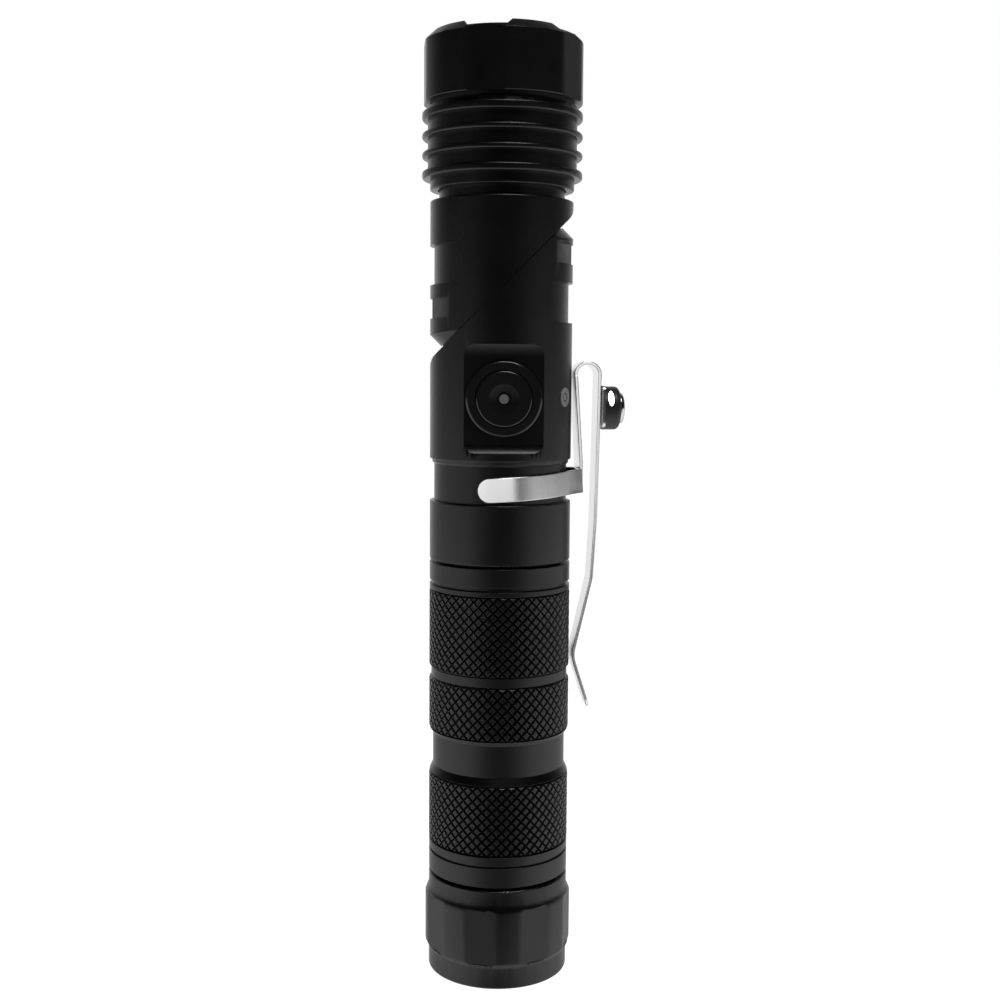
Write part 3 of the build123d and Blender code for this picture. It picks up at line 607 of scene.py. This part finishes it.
def knurled_band(name, z_low, z_high):
    """A ring of raised diamonds between two heights in millimetres."""
    rows = round((z_high - z_low) / KNURL_PITCH)
    shape = bmesh.new()
    foot = bmesh.ops.create_circle(shape, segments=KNURL_AROUND, radius=KNURL_FLOOR * MM, cap_ends=False)
    bmesh.ops.translate(shape, verts=foot["verts"], vec=(0, 0, z_low * MM))
    edges = list(shape.edges)
    for _ in range(rows):
        grown = bmesh.ops.extrude_edge_only(shape, edges=edges)["geom"]
        edges = [g for g in grown if isinstance(g, bmesh.types.BMEdge)]
        verts = [g for g in grown if isinstance(g, bmesh.types.BMVert)]
        edges = [e for e in edges if all(v in verts for v in e.verts)]
        bmesh.ops.translate(shape, verts=verts, vec=(0, 0, (z_high - z_low) / rows * MM))
    straight = [e for e in shape.edges if not e.is_boundary]
    bmesh.ops.poke(shape, faces=shape.faces)
    bmesh.ops.dissolve_edges(shape, edges=straight, use_verts=False)
    for vert in shape.verts:
        vert.co.xy = vert.co.xy.normalized() * KNURL_FLOOR * MM
    bmesh.ops.recalc_face_normals(shape, faces=shape.faces)
    middle = shape.faces[:][0].calc_center_median()
    if shape.faces[:][0].normal.dot(Vector((middle.x, middle.y, 0))) < 0:
        bmesh.ops.reverse_faces(shape, faces=shape.faces)
    diamonds = list(shape.faces)
    bmesh.ops.inset_individual(
        shape, faces=diamonds, thickness=KNURL_GROOVE * MM, depth=KNURL_HEIGHT * MM, use_even_offset=True
    )
    bmesh.ops.inset_individual(
        shape, faces=diamonds, thickness=KNURL_GROOVE * MM, depth=KNURL_DOME * MM, use_even_offset=True
    )
    rims = [e for e in shape.edges if e.is_boundary]
    inner = bmesh.ops.extrude_edge_only(shape, edges=rims)["geom"]
    inner_verts = [g for g in inner if isinstance(g, bmesh.types.BMVert)]
    for vert in inner_verts:
        vert.co.xy = vert.co.xy.normalized() * (KNURL_FLOOR - KNURL_RIM_DEPTH) * MM
    bmesh.ops.bridge_loops(shape, edges=[e for e in shape.edges if e.is_boundary])
    return new_piece(name, shape, "housing", "anodised_black")


for band, (low, high) in KNURL_BANDS.items():
    ring = knurled_band(f"knurl_{band}", low, high)
    reach = max(v.co.xy.length for v in ring.data.vertices)
    print(ring.name, len(ring.data.polygons), "faces, out to", round(reach / MM, 2), "mm")

# %% [markdown]
# ## Pocket clip
# The clip is one strip of spring steel. A strip is best drawn as its middle line, seen from the side, swept
# as a flat ribbon and then given its thickness with a Solidify modifier: the bends keep one thickness and the
# edges can be rounded. It is three pieces here: the collar and the inner leaf hold the tube and don't bend,
# and the outer leaf bends in its hoop when the clip is pulled open, but here it rides on no body.

# %% Clip sizes
CLIP_YAW = math.radians(4.0)
STRIP = 0.6
COLLAR_BORE_R = 12.38
COLLAR_TILT = math.radians(3.2)
COLLAR_LOW, COLLAR_HIGH = 89.1, 93.45
COLLAR_WRAP = 115.0
CLIP_FOOT_Z = 89.8
BACK_X = 14.65
HOOP_TOP = 114.0
HOOP_LEFT, HOOP_RIGHT = 13.55, 18.05
HOOP_START_Z = 111.4
BACK_HALF_WIDTH = 3.0
INNER_HALF_WIDTH = 3.2
LEAF_HALF_WIDTH = 2.9
TAPER_TOP_Z = 80
TAPER_LENGTH = 29
TAPER = 0.6  # how much narrower each side is at the end of the taper
TIP_Z = 50.9
TIP_LENGTH = 1.5
TIP_HALF_WIDTH = 1.1
CLIP_TURN = Matrix.Rotation(CLIP_YAW, 4, "Z")


def rounded_chain(points, radii, steps=8):
    """Points along a bent line: straight runs joined by arcs of the given radii."""
    chain = [Vector(points[0])]
    for before, corner, after, radius in zip(points, points[1:], points[2:], radii):
        before, corner, after = Vector(before), Vector(corner), Vector(after)
        inward, outward = (corner - before).normalized(), (after - corner).normalized()
        turn = inward.angle(outward)
        reach = radius * math.tan(turn / 2)
        start, end = corner - inward * reach, corner + outward * reach
        side = (outward - inward).normalized()
        centre = corner + side * (radius / math.cos(turn / 2))
        for i in range(steps + 1):
            share = i / steps
            spread = math.sin((share - 0.5) * turn) / math.sin(turn / 2)
            arm = ((start - centre) * (1 - spread) / 2 + (end - centre) * (1 + spread) / 2).normalized()
            chain.append(centre + arm * radius)
    chain.append(Vector(points[-1]))
    return chain


def ribbon(name, middle_line, half_width, body, *stands_for):
    """A strip swept across its middle line: half_width is a function of a point, across local Y."""
    shape = bmesh.new()
    verts = []
    for point in middle_line:
        verts.append(shape.verts.new((point.x * MM, -half_width(point) * MM, point.y * MM)))
    edges = [shape.edges.new(pair) for pair in zip(verts, verts[1:])]
    grown = bmesh.ops.extrude_edge_only(shape, edges=edges)["geom"]
    for vert in [g for g in grown if isinstance(g, bmesh.types.BMVert)]:
        vert.co.y = -vert.co.y
    bmesh.ops.transform(shape, matrix=CLIP_TURN, verts=shape.verts)
    return new_piece(name, shape, body, "spring_steel", *stands_for)


def give_thickness(piece, corner=0.16):
    """Turns a ribbon into a strip of metal with rounded edges."""
    for face in piece.data.polygons:
        face.use_smooth = True
    solid = piece.modifiers.new("strip", "SOLIDIFY")
    solid.thickness = STRIP * MM
    solid.offset = 0
    solid.use_even_offset = True
    bevel = piece.modifiers.new("edges", "BEVEL")
    bevel.width = corner * MM
    bevel.segments = 3
    bevel.limit_method = "ANGLE"
    bevel.angle_limit = math.radians(50)
    bevel.harden_normals = True


# %% Outer leaf
leaf_line = rounded_chain(
    [(HOOP_LEFT, HOOP_START_Z), (HOOP_LEFT, HOOP_TOP - STRIP / 2), (HOOP_RIGHT, HOOP_TOP - STRIP / 2),
     (17.5, 84.7), (16.9, 73.9), (13.5, 59.1), (16.7, 49.4)],
    [2.1, 2.1, 60, 10, 6],
)


def leaf_half_width(point):
    """Full width down to the bend, then a long taper to a rounded tip."""
    if point.y > TAPER_TOP_Z:
        return LEAF_HALF_WIDTH
    taper = LEAF_HALF_WIDTH - TAPER * (TAPER_TOP_Z - point.y) / TAPER_LENGTH
    tip = max(0.0, (TIP_Z - point.y) / TIP_LENGTH)
    return max(TIP_HALF_WIDTH, taper * math.sqrt(max(0.0, 1 - 0.7 * tip * tip)))


# the last run gets more points, so that the tip can be round
leaf_line = leaf_line[:-1] + [leaf_line[-2].lerp(leaf_line[-1], t) for t in (0.8, 0.87, 0.93, 0.97, 1.0)]
leaf = ribbon("clip_spring_leaf", leaf_line, leaf_half_width, None, "clip_leaf")
give_thickness(leaf)
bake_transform(leaf)
print("leaf", len(leaf.data.polygons), "faces before its thickness")

# %% Inner leaf
inner_line = rounded_chain(
    [(BACK_X, CLIP_FOOT_Z), (BACK_X, 95.3), (HOOP_LEFT, HOOP_START_Z)], [6],
)
inner_leaf = ribbon("clip_inner_leaf", inner_line, lambda point: INNER_HALF_WIDTH, "clip", "clip_collar")
give_thickness(inner_leaf)

# %% [markdown]
# The collar is the same strip lying on its side: an arc that grips the groove, drawn out on both sides to the
# flat back. Its ends are rounded, so its height shrinks like a circle's over the last stretch of each arm.

# %% Collar
collar_mid = COLLAR_BORE_R + STRIP / 2
lean = math.acos(collar_mid / math.hypot(BACK_X, BACK_HALF_WIDTH)) + math.atan2(BACK_HALF_WIDTH, BACK_X)
half_tall = (COLLAR_HIGH - COLLAR_LOW) / 2
middle_z = (COLLAR_HIGH + COLLAR_LOW) / 2
tip_angle = math.radians(COLLAR_WRAP)
round_angle = half_tall / collar_mid
BLUNT_TIP = 0.12  # the share of its height that the strip keeps at its very tip


def collar_points():
    """Middle line of the collar seen from above, from one tip to the other, with its half height."""
    arc = []
    steps = 26
    tip_steps = 8
    for i in range(tip_steps):
        share = math.sin(math.pi / 2 * i / tip_steps)
        angle = tip_angle - round_angle * share
        level = math.sqrt(max(0.0, 1 - (1 - share) ** 2))
        arc.append((angle, max(BLUNT_TIP, level)))
    for i in range(steps + 1):
        angle = (tip_angle - round_angle) * (1 - i / steps) + lean * (i / steps)
        arc.append((angle, 1.0))
    near = [(collar_mid * math.cos(a), collar_mid * math.sin(a), level) for a, level in arc]
    corner = (BACK_X, BACK_HALF_WIDTH, 1.0)
    side = near + [corner]
    return side + [(x, -y, level) for x, y, level in reversed(side)]


shape = bmesh.new()
low_row = []
for x, y, level in collar_points():
    low_row.append(shape.verts.new((x * MM, y * MM, (middle_z - half_tall * level) * MM)))
edges = [shape.edges.new(pair) for pair in zip(low_row, low_row[1:])]
grown = bmesh.ops.extrude_edge_only(shape, edges=edges)["geom"]
for vert in [g for g in grown if isinstance(g, bmesh.types.BMVert)]:
    vert.co.z = 2 * middle_z * MM - vert.co.z
tilt_centre = Matrix.Translation((0, 0, middle_z * MM))
tilt = tilt_centre @ Matrix.Rotation(-COLLAR_TILT, 4, "Y") @ tilt_centre.inverted()
bmesh.ops.transform(shape, matrix=CLIP_TURN @ tilt, verts=shape.verts)
collar = new_piece("clip_grip", shape, "clip", "spring_steel")
give_thickness(collar)
print("collar", len(collar.data.polygons), "faces before its thickness")

# %% [markdown]
# Polished steel that faces the camera would show the dark gap between the screens. In a studio a pale card
# is held beside the lens for it, so one soft lamp stands there and is linked to the steel strip alone.

# %% Card for the steel
steel_set = bpy.data.collections.new("steel_strip")
for strip_piece in (leaf, inner_leaf, collar):
    steel_set.objects.link(strip_piece)
card = soft_box("steel_card", -14, 0.42, 0.17, 0.60, 0.30, 0.62)
card.light_linking.receiver_collection = steel_set
